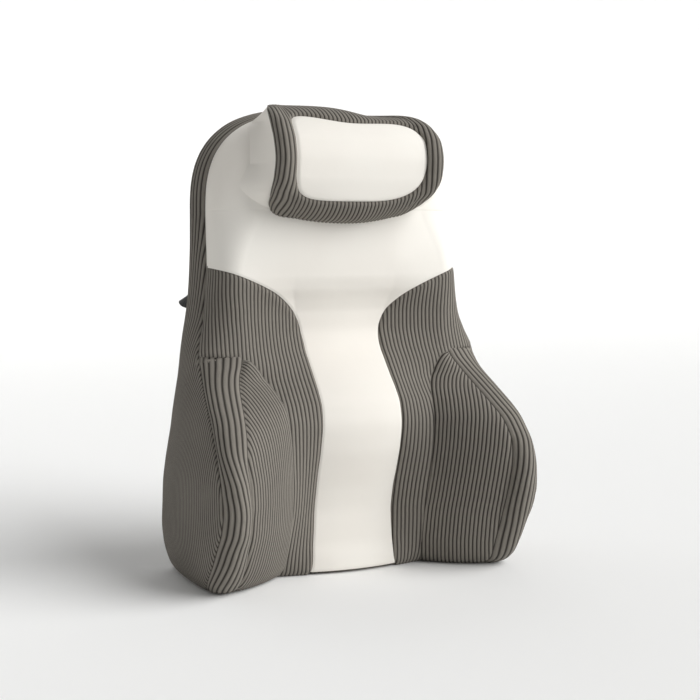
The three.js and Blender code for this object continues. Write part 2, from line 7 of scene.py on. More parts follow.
import bmesh
import bpy
import numpy as np
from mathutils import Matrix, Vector


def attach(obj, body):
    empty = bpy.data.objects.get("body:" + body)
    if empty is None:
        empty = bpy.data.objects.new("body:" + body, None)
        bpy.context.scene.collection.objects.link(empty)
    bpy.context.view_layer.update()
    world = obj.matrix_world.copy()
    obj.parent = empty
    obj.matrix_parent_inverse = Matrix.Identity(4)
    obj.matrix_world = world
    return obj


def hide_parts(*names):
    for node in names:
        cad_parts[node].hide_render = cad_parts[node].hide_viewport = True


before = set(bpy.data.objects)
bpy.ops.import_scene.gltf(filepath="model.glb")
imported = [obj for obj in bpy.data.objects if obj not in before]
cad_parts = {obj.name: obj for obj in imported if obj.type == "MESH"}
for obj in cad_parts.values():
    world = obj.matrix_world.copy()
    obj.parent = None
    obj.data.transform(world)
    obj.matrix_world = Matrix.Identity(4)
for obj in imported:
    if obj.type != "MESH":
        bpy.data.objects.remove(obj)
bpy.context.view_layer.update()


# Back pad: a firm foam slab that thickens to a lumbar bulge low down and thins at the neck.
# Its corduroy cover is cut as two front panels and one long side panel that runs from foot
# to foot over the top arch, sewn with plain turned seams that draw the cloth in.

MM_PER_METRE = 1000
ORIGIN_DEPTH = 95.3
WELD = 0.02
# Cords: their distance and height, grid steps to each, and the width of their end at a seam.
RIB_PITCH, RIB_RISE, RIB_STEPS, RIB_FADE = 5.2, 1.2, 6, 1.6
# Seams: how far they draw the cloth in, over what width, and how far where two panels turn.
SEAM_TUCK, SEAM_WIDTH = 1.6, 3.0
EDGE_TUCK = 0.7 * SEAM_TUCK
# Arch: the height where it starts, its rise at the back and at the front seam, its power, and
# the power with which the front flattens there.
ARCH_START, ARCH_BACK, ARCH_SEAM, ARCH_POWER, ARCH_FLATTEN = 460.0, 140.0, 133.0, 2.8, 6
# Under the wings the pad is a slab nine cords deep, and above SLAB_TOP it thickens again.
WING_TOP, SLAB_TOP, SLAB = 282.0, 215.0, 9 * RIB_PITCH
# The cream column reaches the pad's full width at COLUMN_TOP, and above it no seam is near.
COLUMN_TOP, FAR_INSIDE = 398.0, 60.0
# Rounded back edge, power of the front's outer part, and rise of a puffed chord to its length.
BACK_ROUND, BACK_ROUND_REACH, FRONT_POWER, CHORD_RISE = 6.0, 10.0, 2.2, 0.35
# Slump of the soft top: everywhere, most at its middle, and the heights over which it grows.
SETTLE, SLUMP, SLUMP_AT, SLUMP_WIDTH = 1.2, 9.5, 42.0, 42.0
SLUMP_FROM, SLUMP_OVER = 574.0, 25.0


def smooth_table(names, rows):
    """One function per column of a table. Between two rows it is a cubic whose slope at each
    row is the harmonic mean of the slopes on both sides, or none where they turn."""
    rows = np.array(rows, float)
    at = rows[:, 0]

    def column(values):
        step = np.diff(at)
        slope = np.diff(values) / step
        before, after = slope[:-1], slope[1:]
        same = before * after > 0
        middle = np.where(same, 2 * before * after / np.where(same, before + after, 1), 0)
        tangent = np.concatenate([slope[:1], middle, slope[-1:]])

        def value(where):
            where = np.clip(np.asarray(where, float), at[0], at[-1])
            i = np.clip(np.searchsorted(at, where, side="right") - 1, 0, len(at) - 2)
            t = (where - at[i]) / step[i]
            return (values[i] * (1 + 2 * t) * (1 - t) ** 2 + step[i] * tangent[i] * t * (1 - t) ** 2
                    + values[i + 1] * t * t * (3 - 2 * t) + step[i] * tangent[i + 1] * t * t * (t - 1))

        return value

    return {name: column(rows[:, i + 1]) for i, name in enumerate(names)}


side = smooth_table(["back_half", "seam_half", "seam_depth", "swell"], [
    [0, 203, 200, 132, 4], [4, 207, 206, 138, 5], [10, 211, 209, 146, 7],
    [20, 215, 211, 157, 8], [40, 220, 212, 176, 9], [64, 222, 212, 194, 10],
    [90, 221, 212, 212, 10], [116, 220, 212, 219, 10], [140, 217, 213, 216, 10],
    [164, 213, 212, 204, 9], [186, 209, 209, 185, 8], [208, 206, 207, 165, 7],
    [232, 202, 202, 129, 6], [256, 198, 196, 95, 5], [282, 195, 193, 74, 4],
    [305, 192, 186, 61, 4], [330, 188, 179, 52, 4], [360, 184, 175, 47, 4],
    [393, 182, 172, 43, 4], [430, 181, 170, 35, 4], [460, 181, 169, 31, 4],
])
front = smooth_table(["middle", "seam_half", "seam_depth", "crease_half", "crease_depth"], [
    [0, 119, 60, 112, 106, 100], [4, 123, 58.5, 116, 103, 108], [9, 125, 57.5, 118, 100, 113],
    [16, 125, 56.5, 118, 98, 117], [43, 120, 55.5, 115, 94.5, 126], [75, 120, 54, 115, 93.5, 135],
    [107, 126, 54, 121, 95, 143], [137, 136, 55, 131, 97, 148], [167, 146, 55, 141, 99, 150],
    [197, 151, 54.5, 146, 101, 148], [219, 147, 54, 142, 103, 138], [238, 135, 53.5, 129, 109, 120],
    [254, 119, 53, 114, 119, 108], [270, 103, 53, 99, 134, 105], [291, 84, 53, 81, 140, 97],
    [315, 75, 56, 72, 140, 91], [334, 76, 62, 73, 140, 89], [349, 81, 66, 78, 140, 89],
    [367, 90, 70, 88, 140, 90], [383, 95, 70, 93, 139, 91], [410, 97, 70, 96, 134, 91],
    [440, 96, 68, 95, 120, 90], [460, 95, 66, 94, 110, 89],
])
cream = smooth_table(["half"], [
    [0, 61], [16, 57], [43, 55.5], [75, 54], [107, 54], [137, 55], [167, 55], [197, 54.5],
    [219, 54], [238, 53.5], [254, 53], [270, 53], [291, 53], [315, 56], [334, 64], [349, 78],
    [360, 93], [370, 112], [378, 130], [384, 145], [389, 160], [394, 178], [398, 200],
])


def smooth_step(t):
    """Rises from 0 to 1 with no slope at either end: t squared times (3 - 2 t)."""
    t = np.clip(t, 0, 1)
    return t * t * (3 - 2 * t)


def bell(distance, width):
    """A bell curve, 1 at no distance: e to the minus square of the distance over the width."""
    return np.exp(-(distance / width) ** 2)


def level(height):
    """The straight part's height and how far up the arch a level lies, from 0 to 1, with how
    much the arch narrows there: a superellipse of the arch's power."""
    arch = np.clip((height - ARCH_START) / ARCH_BACK, 0, 1)
    return np.minimum(height, ARCH_START), arch, (1 - arch ** ARCH_POWER) ** (1 / ARCH_POWER)


def arch_rise(depth):
    """Rise of the arch at a depth: a straight line from the back edge to the front seam."""
    share = np.clip(depth / side["seam_depth"](ARCH_START), 0, 1)
    return ARCH_BACK + (ARCH_SEAM - ARCH_BACK) * share


def height_at(height, depth):
    """A level tips in the arch, because the front seam's arch is lower than the back's."""
    z, arch, _ = level(height)
    return z + arch * arch_rise(depth)


def side_half(height, depth):
    """Half width of the side panel: a straight line from back edge to seam, swelled by a
    parabola, rounded in over the last 10 mm to the back, times the arch's narrowing."""
    z, _, narrow = level(height)
    t = depth / side["seam_depth"](z)
    line = side["back_half"](z) * (1 - t) + side["seam_half"](z) * t
    back = BACK_ROUND * (1 - np.clip(depth / BACK_ROUND_REACH, 0, 1)) ** 2
    return (line + side["swell"](z) * 4 * t * (1 - t) - back) * narrow


def edge_depth(height):
    """Depth where the pad's front starts: the seam, or the slab's edge under a wing."""
    z = np.minimum(height, ARCH_START)
    seam = side["seam_depth"](z)
    thicker = smooth_step((z - SLAB_TOP) / (WING_TOP - SLAB_TOP))
    slab = SLAB + (side["seam_depth"](WING_TOP) - SLAB) * thicker
    return np.where(z < WING_TOP, slab, seam)


def front_depth(height, across):
    """Depth of the pad's front at a share of the arch's width: a parabola over the column, a
    straight slope to the crease, then a superellipse down to the edge, flattened in the arch."""
    z, arch, _ = level(height)
    edge = edge_depth(height)
    seam_half, crease_half = front["seam_half"](z), front["crease_half"](z)
    middle, seam, crease = front["middle"](z), front["seam_depth"](z), front["crease_depth"](z)
    x = np.abs(across)
    column = middle + (seam - middle) * np.minimum(x / seam_half, 1) ** 2
    panel = seam + (crease - seam) * (x - seam_half) / (crease_half - seam_half)
    half = side_half(np.minimum(height, ARCH_START), edge)
    t = np.clip((x - crease_half) / (half - crease_half), 0, 1)
    outer = edge + (crease - edge) * np.sqrt(1 - t ** FRONT_POWER)
    depth = np.where(x < seam_half, column, np.where(x < crease_half, panel, outer))
    return edge + (depth - edge) * np.sqrt(1 - arch ** ARCH_FLATTEN)


def cream_distance(height, x):
    """How far inside the cream front a point lies: the outline's half width less x, over
    the outline's slope so that it is measured square to the seam."""
    slope = (cream["half"](height + 1) - cream["half"](height - 1)) / 2
    below = (cream["half"](height) - np.abs(x)) / np.sqrt(1 + slope ** 2)
    return np.where(height < COLUMN_TOP, below, FAR_INSIDE)


def even_share(share):
    """The share of a puffed chord that lies at an even share of its length round the puff,
    for a parabola whose height is a fixed part of the chord."""
    t = np.linspace(0, 1, 101)
    length = np.cumsum(np.sqrt(1 + (4 * CHORD_RISE * (1 - 2 * t)) ** 2))
    return np.interp(share, (length - length[0]) / (length[-1] - length[0]), t)


def ribs(pitches):
    """Height of the wales across the cloth, 0 to 1: half ellipses side by side."""
    t = pitches - np.floor(pitches) - 0.5
    return np.sqrt(np.clip(1 - (2 * t) ** 2, 0, 1))


def normals(points):
    """Unit normals of a grid: the cross product of its two differences."""
    along = np.gradient(points, axis=0)
    across = np.gradient(points, axis=1)
    normal = np.cross(across, along)
    return normal / np.maximum(np.linalg.norm(normal, axis=-1, keepdims=True), 1e-9)


def raised(points, pitches, edge, rise=RIB_RISE):
    """Lifts a grid along its normals by the ribs, which fade out beside a seam."""
    fade = 1 - bell(np.maximum(edge, 0), RIB_FADE)
    return points + normals(points) * (rise * ribs(pitches) * fade)[..., None]


def grid(x, depth, z):
    """Stacks three arrays of like shape into points in the shared frame, in mm."""
    x, depth, z = np.broadcast_arrays(x, depth, z)
    return np.stack([x, ORIGIN_DEPTH - depth, z], -1)


def cloth_map(across, along):
    """Cloth coordinates of a grid: pitches across the ribs, and pitches along them."""
    across, along = np.broadcast_arrays(across, along)
    return np.stack([across, along], -1)


def plain_map(points):
    """Cloth coordinates of a grid without ribs: the middle of one cord all over."""
    return np.full(points.shape[:2] + (2,), 0.5)


def mirrored(points):
    """The same grid on the other side, in reverse order so that its faces point outwards."""
    return (points * [-1, 1, 1])[:, ::-1]


def slumped(corners):
    """The soft top slumps right of the middle, by a bell curve across it that grows with
    height from 574 to 599 mm, and nothing goes below the floor."""
    lower = SETTLE + SLUMP * bell(corners[:, 0] - SLUMP_AT, SLUMP_WIDTH)
    z = corners[:, 2] - lower * smooth_step((corners[:, 2] - SLUMP_FROM) / SLUMP_OVER)
    return np.stack([corners[:, 0], corners[:, 1], np.maximum(z, 0)], 1)


def sewn(name, panels):
    """One closed mesh from grids whose borders meet: shared points are welded, open ends are
    closed, and the cloth coordinates become a UV map."""
    corners, quads, cloth, start = [], [], [], 0
    for points, coordinates in panels:
        rows, columns = points.shape[:2]
        index = start + np.arange(rows * columns).reshape(rows, columns)
        square = [index[:-1, :-1], index[:-1, 1:], index[1:, 1:], index[1:, :-1]]
        quads.append(np.stack(square, -1).reshape(-1, 4))
        corners.append(points.reshape(-1, 3))
        cloth.append(coordinates.reshape(-1, 2))
        start += rows * columns
    corners = slumped(np.concatenate(corners)) / MM_PER_METRE
    quads, cloth = np.concatenate(quads), np.concatenate(cloth)
    mesh = bpy.data.meshes.new(name)
    mesh.from_pydata(corners, [], quads)
    uv = mesh.uv_layers.new(name="cloth")
    uv.data.foreach_set("uv", cloth[quads.ravel()].astype(np.float32).ravel())
    work = bmesh.new()
    work.from_mesh(mesh)
    bmesh.ops.remove_doubles(work, verts=work.verts, dist=WELD / MM_PER_METRE)
    bmesh.ops.dissolve_degenerate(work, edges=work.edges, dist=WELD / 4 / MM_PER_METRE)
    bmesh.ops.holes_fill(work, edges=[edge for edge in work.edges if edge.is_boundary], sides=0)
    bmesh.ops.recalc_face_normals(work, faces=work.faces)
    work.to_mesh(mesh)
    work.free()
    mesh.polygons.foreach_set("use_smooth", np.ones(len(mesh.polygons), bool))
    piece = bpy.data.objects.new(name, mesh)
    bpy.context.scene.collection.objects.link(piece)
    return piece


def linear(hex_colour):
    """An sRGB hex colour as linear red, green, blue and alpha: a straight line near black and
    a power of 2.4 above it, as the sRGB standard has them."""
    srgb = np.array([int(hex_colour[i:i + 2], 16) / 255 for i in (0, 2, 4)])
    value = np.where(srgb <= 0.04045, srgb / 12.92, ((srgb + 0.055) / 1.055) ** 2.4)
    return (*(float(v) for v in value), 1.0)


def node(material, kind, settings=None, **links):
    """Adds a shader node, sets its values, and joins each named or numbered input to a socket."""
    made = material.node_tree.nodes.new(kind)
    for name, value in (settings or {}).items():
        if isinstance(name, str) and hasattr(made, name):
            setattr(made, name, value)
        else:
            made.inputs[name].default_value = value
    for name, socket in links.items():
        key = int(name[1:]) if name[0] == "i" and name[1:].isdigit() else name.replace("_", " ")
        material.node_tree.links.new(socket, made.inputs[key])
    return made


def noise(material, place, **settings):
    """The strength of a noise texture at a place, with its settings by name."""
    return node(material, "ShaderNodeTexNoise", settings, Vector=place).outputs["Fac"]


def new_material(name):
    """A node material that has only its principled shader."""
    material = bpy.data.materials.new(name)
    material.use_nodes = True
    return material


def finished(material, colour, bump, settings):
    """Joins a colour and a bump to the shader, sets its other inputs, returns the material."""
    shader = material.node_tree.nodes["Principled BSDF"]
    material.node_tree.links.new(colour, shader.inputs["Base Color"])
    material.node_tree.links.new(bump.outputs[0], shader.inputs["Normal"])
    for name, value in settings.items():
        shader.inputs[name].default_value = value
    return material


# A mix node has its two colours at these inputs.
COLOUR_A, COLOUR_B = 6, 7


# Wide-wale corduroy: cotton pile cut into cords 5.2 mm apart. Light catches the rounded
# crests, the ground between them is dark, partly its own colour and partly painted shade
# between the cords, and the pile gives a soft sheen at the rims.
def corduroy_material():
    material = new_material("wide-wale corduroy, taupe grey")
    uv = node(material, "ShaderNodeUVMap", {"uv_map": "cloth"})
    split = node(material, "ShaderNodeSeparateXYZ", Vector=uv.outputs[0])
    share = node(material, "ShaderNodeMath", {"operation": "FRACT"}, i0=split.outputs[0])
    middle = node(material, "ShaderNodeMath", {"operation": "SUBTRACT", 1: 0.5}, i0=share.outputs[0])
    away = node(material, "ShaderNodeMath", {"operation": "ABSOLUTE"}, i0=middle.outputs[0])
    crest = node(material, "ShaderNodeMapRange",
                 {"interpolation_type": "SMOOTHSTEP", "From Min": 0.5, "From Max": 0.16},
                 Value=away.outputs[0])
    place = node(material, "ShaderNodeTexCoord")
    pile = noise(material, place.outputs["Object"], Scale=1400.0, Detail=3.0, Roughness=0.7)
    streak_at = node(material, "ShaderNodeMapping", {"Scale": (2.2, 0.35, 1.0)}, Vector=uv.outputs[0])
    streak = noise(material, streak_at.outputs[0], Scale=1.6, Detail=4.0, Roughness=0.6)
    patch = noise(material, place.outputs["Object"], Scale=9.0, Detail=2.0)
    tops = node(material, "ShaderNodeMix",
                {"data_type": "RGBA", COLOUR_A: linear("75706a"), COLOUR_B: linear("8e8980")},
                i0=streak)
    # The dark 2f2c28 between the crests is partly the ground's own colour and partly painted shade between
    # the cords.
    cords = node(material, "ShaderNodeMix", {"data_type": "RGBA", COLOUR_A: linear("2f2c28")},
                 i0=crest.outputs[0], i7=tops.outputs[2])
    shade = node(material, "ShaderNodeMapRange",
                 {"From Min": 0.3, "From Max": 0.7, "To Min": 0.92, "To Max": 1.06}, Value=patch)
    colour = node(material, "ShaderNodeVectorMath", {"operation": "SCALE"}, i0=cords.outputs[2],
                  Scale=shade.outputs[0])
    grain = node(material, "ShaderNodeBump", {"Strength": 0.35, "Distance": 0.0006}, Height=pile)
    return finished(material, colour.outputs[0], grain, {
        "Roughness": 0.92, "Specular IOR Level": 0.25, "Sheen Weight": 0.14,
        "Sheen Roughness": 0.45, "Sheen Tint": linear("c9c3ba")})


corduroy = corduroy_material()

# Rows of the pad: close at the rounded foot, 4 mm apart, then even in the arch's angle.
foot_rows = np.array([0, 1.2, 2.6, 4.4, 6.5, 9, 12, 15.5])
straight_rows = np.arange(20, ARCH_START, 4.0)
arch_rows = ARCH_START + ARCH_BACK * np.sin(np.linspace(0, np.pi / 2, 44)) ** (2 / ARCH_POWER)
heights = np.concatenate([foot_rows, straight_rows, arch_rows])[:, None]

# The front panels: columns a fixed run of cloth apart, so that the ribs keep their pitch
# where the surface turns, from under the cream column out to the seam. Under a wing they
# end just past its crease, and under the cream cover they sink to make room for it.
PANEL_START, UNDER_WING = 42.0, 12.0
COVER_SINK, SINK_WIDTH, SINK_LEAD = 5.0, 3.0, 0.2
# From here up the front seam shows, and it draws the cloth in.
SEAM_FROM, SEAM_OVER = 262.0, 18.0
fine = np.linspace(0, 1, 400)[None, :]
_, _, narrow = level(heights)
edge = edge_depth(heights)
half = side_half(np.minimum(heights, ARCH_START), edge)
under_wing = np.minimum(front["crease_half"](heights) + UNDER_WING, half)
panel_end = np.where(heights < WING_TOP, under_wing, half)
trace_x = PANEL_START + (panel_end - PANEL_START) * fine
trace_d = front_depth(heights, trace_x)
run = np.cumsum(np.hypot(np.diff(trace_x, axis=1), np.diff(trace_d, axis=1)), axis=1)
run = np.concatenate([np.zeros_like(heights), run], axis=1)
steps = np.arange(0, run[heights[:, 0] < COLUMN_TOP].max() + 1, RIB_PITCH / RIB_STEPS)[None, :]
spot = np.minimum(steps, run[:, -1:])
panel_x = np.stack([np.interp(s, r, x) for s, r, x in zip(spot, run, trace_x)])
outward = run[:, -1:] - spot
panel_pitch = (PANEL_START + spot) / RIB_PITCH

seam_tuck = EDGE_TUCK * smooth_step((heights - SEAM_FROM) / SEAM_OVER)
inside = cream_distance(heights, panel_x)
sink = COVER_SINK * smooth_step(inside / SINK_WIDTH + SINK_LEAD)
tuck = SEAM_TUCK * bell(inside, SEAM_WIDTH)
tuck_out = seam_tuck * bell(outward, SEAM_WIDTH)
panel_depth = front_depth(heights, panel_x) - sink - tuck - tuck_out
right_panel = grid(panel_x * narrow, panel_depth, height_at(heights, edge))
right_panel[:, -1, 0] -= seam_tuck[:, 0]
right_panel = raised(right_panel, panel_pitch, np.minimum(np.maximum(-inside, 0), outward))
panel_cloth = cloth_map(panel_pitch, heights / RIB_PITCH)

# Under the wing and under the column the pad is plain.
hidden_share = np.linspace(0, 1, 9)[None, :]
hidden_x = panel_x[:, -1:] + (half - panel_x[:, -1:]) * hidden_share
hidden_depth = front_depth(heights, hidden_x) - seam_tuck
right_hidden = grid(hidden_x * narrow, hidden_depth, height_at(heights, edge))
right_hidden[:, 0] = right_panel[:, -1]
right_hidden[:, -1, 0] -= seam_tuck[:, 0]
middle_x = np.linspace(-1, 1, 13)[None, :] * panel_x[:, :1]
middle_depth = front_depth(heights, middle_x) - COVER_SINK
middle_panel = grid(middle_x * narrow, middle_depth, height_at(heights, edge))
middle_panel[:, -1] = right_panel[:, 0]
middle_panel[:, 0] = right_panel[:, 0] * [-1, 1, 1]

# The side panel: ribs run parallel to the back edge, all the way over the arch. Beside a
# wing it ends at the slab's edge, where the ribs don't fade out.
GUSSET_DEEPEST, BACK_TUCK, BACK_TUCK_WIDTH, NO_SEAM = 80.0, 0.8, 2.0, 9.0
gusset_depth = np.minimum(np.arange(0, GUSSET_DEEPEST, RIB_PITCH / RIB_STEPS)[None, :], edge)
gusset_tuck = seam_tuck * bell(edge - gusset_depth, SEAM_WIDTH)
back_tuck = BACK_TUCK * bell(gusset_depth, BACK_TUCK_WIDTH)
gusset_x = np.maximum(side_half(heights, gusset_depth) - gusset_tuck - back_tuck, 0)
gusset = grid(gusset_x, gusset_depth, height_at(heights, gusset_depth))[:, ::-1]
gusset[:, 0] = right_hidden[:, -1]
from_front = np.where(seam_tuck > 0.3 * EDGE_TUCK, edge - gusset_depth, NO_SEAM)
gusset_edge = np.minimum(from_front, gusset_depth)[:, ::-1]
gusset_pitch = (gusset_depth / RIB_PITCH)[:, ::-1]
rim = gusset[:, 0].copy()
gusset = raised(gusset, gusset_pitch, gusset_edge)
gusset[:, 0] = rim
gusset_cloth = cloth_map(gusset_pitch, heights / RIB_PITCH)

# The back: a flat face sunk by 4 mm, which leaves room for its own cloth panel.
half_share = np.array([1, 0.995, 0.985, 0.97, 0.6, 0.2])
back_share = np.concatenate([half_share, -half_share[::-1]])[None, :]
back_half = gusset[:, -1:, 0]
back_depth = np.array([0, 2.5, 4, 4, 4, 4, 4, 4, 4, 4, 2.5, 0])[None, :]
pad_back = grid(back_share * back_half, back_depth, height_at(heights, back_depth))

back_pad = sewn("pad_body", [
    (middle_panel, plain_map(middle_panel)),
    (right_panel, panel_cloth),
    (mirrored(right_panel), panel_cloth[:, ::-1]),
    (right_hidden, plain_map(right_hidden)),
    (mirrored(right_hidden), plain_map(right_hidden)),
    (gusset, gusset_cloth),
    (mirrored(gusset), gusset_cloth[:, ::-1]),
    (pad_back, plain_map(pad_back)),
])
back_pad.data.materials.append(corduroy)
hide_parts("back_pad")
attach(back_pad, "root")


# Back panel: the same corduroy, one flat piece with upright ribs. It fills the sunk back of
# the pad, stands just proud of it and is sewn to the side panel all round.

BACK_TOP, BACK_INSET, BACK_RIBS, BACK_RISE = 599.0, 1.6, 39, 1.3
# Depths of its outer and inner face, the outer one's fall at the seam and its width, the
# height of the foot's seam, and how far from it the fall still counts.
BACK_OUTER, BACK_INNER, BACK_FALL, BACK_FALL_WIDTH = 1.7, 3.9, 2.0, 2.5
BACK_FOOT, BACK_FAR = 2.0, 12.0
back_rows = np.concatenate([[3, 6, 10], np.arange(20, ARCH_START, 12.0), arch_rows[::2],
                            arch_rows[-1:]])[:, None]
back_rows = np.minimum(back_rows, BACK_TOP)
back_edge = side_half(back_rows, 0.0) - BACK_INSET
back_reach = BACK_RIBS * RIB_PITCH
back_steps = np.arange(-back_reach, back_reach + 0.1, RIB_PITCH / RIB_STEPS)[None, :]
back_x = np.clip(back_steps, -back_edge, back_edge)
back_in = np.minimum(back_edge - np.abs(back_x), np.minimum(back_rows - BACK_FOOT, BACK_FAR))
back_fall = BACK_FALL * bell(np.maximum(back_in, 0), BACK_FALL_WIDTH)
outer_back = grid(back_x[:, ::-1], BACK_OUTER + back_fall, height_at(back_rows, 0.0))
back_pitch = back_x[:, ::-1] / RIB_PITCH
outer_back = raised(outer_back, back_pitch, back_in[:, ::-1], rise=BACK_RISE)
inner_back = grid(back_x, BACK_INNER + 0 * back_rows, height_at(back_rows, 0.0))
joined = np.concatenate([outer_back, inner_back, outer_back[:, :1]], axis=1)
joined_pitch = np.concatenate([back_pitch, back_x / RIB_PITCH, back_pitch[:, :1]], axis=1)
back_panel = sewn("back_panel", [(joined, cloth_map(joined_pitch, back_rows / RIB_PITCH))])
back_panel.data.materials.append(corduroy)
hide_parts("back_pad")
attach(back_panel, "root")


# Cream front: a smooth matt stretch knit over a thin foam layer, cut as a column that flares
# to the pad's full width and a yoke above it, joined by one fine cross seam and sewn to the
# corduroy all round.

# Stretch knit: a fine even surface with no visible thread at arm's length. Its loops, about
# 0.9 mm apart, only soften the light, and the cloth is a warm white.
def knit_material():
    material = new_material("brushed stretch knit, warm white")
    place = node(material, "ShaderNodeTexCoord")
    loops = noise(material, place.outputs["Object"], Scale=1100.0, Detail=2.0, Roughness=0.6)
    rumple = noise(material, place.outputs["Object"], Scale=14.0, Detail=3.0, Roughness=0.45)
    patch = noise(material, place.outputs["Object"], Scale=5.0, Detail=2.0)
    tone = node(material, "ShaderNodeMapRange", {"From Min": 0.3, "From Max": 0.7}, Value=patch)
    colour = node(material, "ShaderNodeMix",
                  {"data_type": "RGBA", COLOUR_A: linear("e6e1d9"), COLOUR_B: linear("eeebe4")},
                  i0=tone.outputs[0])
    soft = node(material, "ShaderNodeBump", {"Strength": 0.25, "Distance": 0.004}, Height=rumple)
    fine_bump = node(material, "ShaderNodeBump", {"Strength": 0.12, "Distance": 0.0004},
                     Height=loops, Normal=soft.outputs[0])
    return finished(material, colour.outputs[2], fine_bump, {
        "Roughness": 0.85, "Specular IOR Level": 0.3, "Sheen Weight": 0.2,
        "Sheen Roughness": 0.5, "Sheen Tint": linear("fbf8f2")})


knit = knit_material()
YOKE_SEAM = 466.0
COVER_THICK = 4.0
# How far the side seams and the cross seam draw the cover in, and over what width.
SIDE_DRAW, SIDE_DRAW_WIDTH, CROSS_DRAW, CROSS_DRAW_WIDTH = 0.7, 1.7, 0.2, 2.2
PAD_EDGE_WIDTH = 3.0


def cover(name, rows):
    """A cover over the pad's front: each row runs from seam to seam, its points spaced by a
    sine so that they are closer at both, draws in there, and comes back 4 mm under."""
    share = np.sin(np.linspace(-np.pi / 2, np.pi / 2, 181))[None, :]
    _, _, pinch = level(rows)
    rim = edge_depth(rows)
    width = side_half(np.minimum(rows, ARCH_START), rim)
    reach = np.where(rows < COLUMN_TOP, np.minimum(cream["half"](rows), width), width)
    x = share * reach
    at_pad_edge = np.clip((reach - width + PAD_EDGE_WIDTH) / PAD_EDGE_WIDTH, 0, 1)
    seam = np.where(rows < COLUMN_TOP, np.maximum(cream_distance(rows, x), 0), width - np.abs(x))
    draw = SIDE_DRAW * bell(seam, SIDE_DRAW_WIDTH) + CROSS_DRAW * bell(rows - YOKE_SEAM, CROSS_DRAW_WIDTH)
    depth = front_depth(rows, x) - draw * (1 - 0.5 * at_pad_edge)
    x = x - np.sign(x) * EDGE_TUCK * at_pad_edge * (np.abs(share) > 0.999)
    top = grid(x * pinch, depth, height_at(rows, rim))
    under = grid(x * pinch, depth - COVER_THICK, height_at(rows, rim))[:, ::-1]
    loop = np.concatenate([top, under, top[:, :1]], axis=1)
    piece = sewn(name, [(loop, cloth_map(loop[..., 0] / RIB_PITCH, rows / RIB_PITCH))])
    piece.data.materials.append(knit)
    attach(piece, "root")
    return piece


# Rows are close at the foot, where the column flares out, and at the cross seam.
column_rows = np.concatenate([
    [4.4, 4.8, 5.6, 7, 9, 12, 15], np.arange(19, 330, 4.0), np.arange(330, 376, 2.0),
    np.arange(376, 400, 0.6), np.arange(402, YOKE_SEAM, 4.0), [YOKE_SEAM - 1, YOKE_SEAM],
])
front_column = cover("cream_column", column_rows[:, None])
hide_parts("front_column")
# The yoke starts just under the column's last row and goes on over the arch.
yoke_rows = np.concatenate([[YOKE_SEAM - 0.2, YOKE_SEAM + 1, YOKE_SEAM + 2.5],
                            arch_rows[arch_rows > YOKE_SEAM + 4]])
front_yoke = cover("cream_yoke", yoke_rows[:, None])
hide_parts("front_yoke")


# Side wings: firm foam wedges that hug the waist, covered in corduroy. The inner panel's ribs
# follow the crease, the band's seven ribs run along its seams, and the outer panel carries on
# the pad's side panel, so where two panels meet the ribs run together at a slant.

band = smooth_table(["half", "depth", "puff"], [
    [0, 172, 147, 10], [4, 174, 156, 12], [10, 174, 166, 14], [24, 172, 177, 16], [44, 171, 187, 16],
    [73, 171, 200, 15], [98, 172.5, 208, 15], [120, 174, 214, 15], [143, 176, 216.5, 15],
    [170, 177.5, 213.5, 14], [197, 173.5, 200, 13], [221, 166.5, 170, 12], [245, 159, 135, 11],
    [260, 153, 117, 9], [272, 147, 107, 8], [282, 144, 101, 6], [292, 141, 84, 0],
])
# Ribs of the band, the inner panel's puff, how far the wing sinks into the pad, and how far
# its panels stay above that.
BAND_RIBS, INNER_PUFF, WING_SINK, WING_CLEAR = 7, 5.0, 3.0, 0.2
# The crease follows the pad's crease up to CREASE_TURN and then runs on nearly straight.
CREASE_TURN, CREASE_TURN_HALF, CREASE_SLOPE, CREASE_IN, CREASE_SOFT = 254.0, 119.0, 0.3, 3.0, 6.0
# The top closes as a dome: where it starts, its height and power, and the width it leaves.
DOME_FROM, DOME_RISE, DOME_POWER, DOME_LEFT = 247.0, 31.0, 2.6, 2.0
TOP_SINK, TOP_SINK_FROM, TOP_SINK_OVER = 3.5, 281.0, 9.0
# Away from its seams a panel stands SEAM_SWELL higher, and at its front seam the outer one is
# drawn in. Both seams of the band shift a little, in x and depth, so that its edges sink in.
SEAM_SWELL, SWELL_WIDTH, OUTER_DRAW = 1.2, 3.0, 0.9
INNER_SEAM_SHIFT, OUTER_SEAM_SHIFT = (0.45, -1.0), (-OUTER_DRAW, -OUTER_DRAW)
# Columns of the outer panel, in steps of the ribs' grid from the back.
OUTER_FIRST, OUTER_LAST = 258, 50
wing_rows = np.concatenate([foot_rows, np.arange(18, 252, 3.5), np.arange(252, 291, 1.5)])[:, None]


def between(start, finish, share):
    """Straight line between two columns of points, at shares of the way."""
    return start[:, None] + (finish - start)[:, None] * share[..., None]


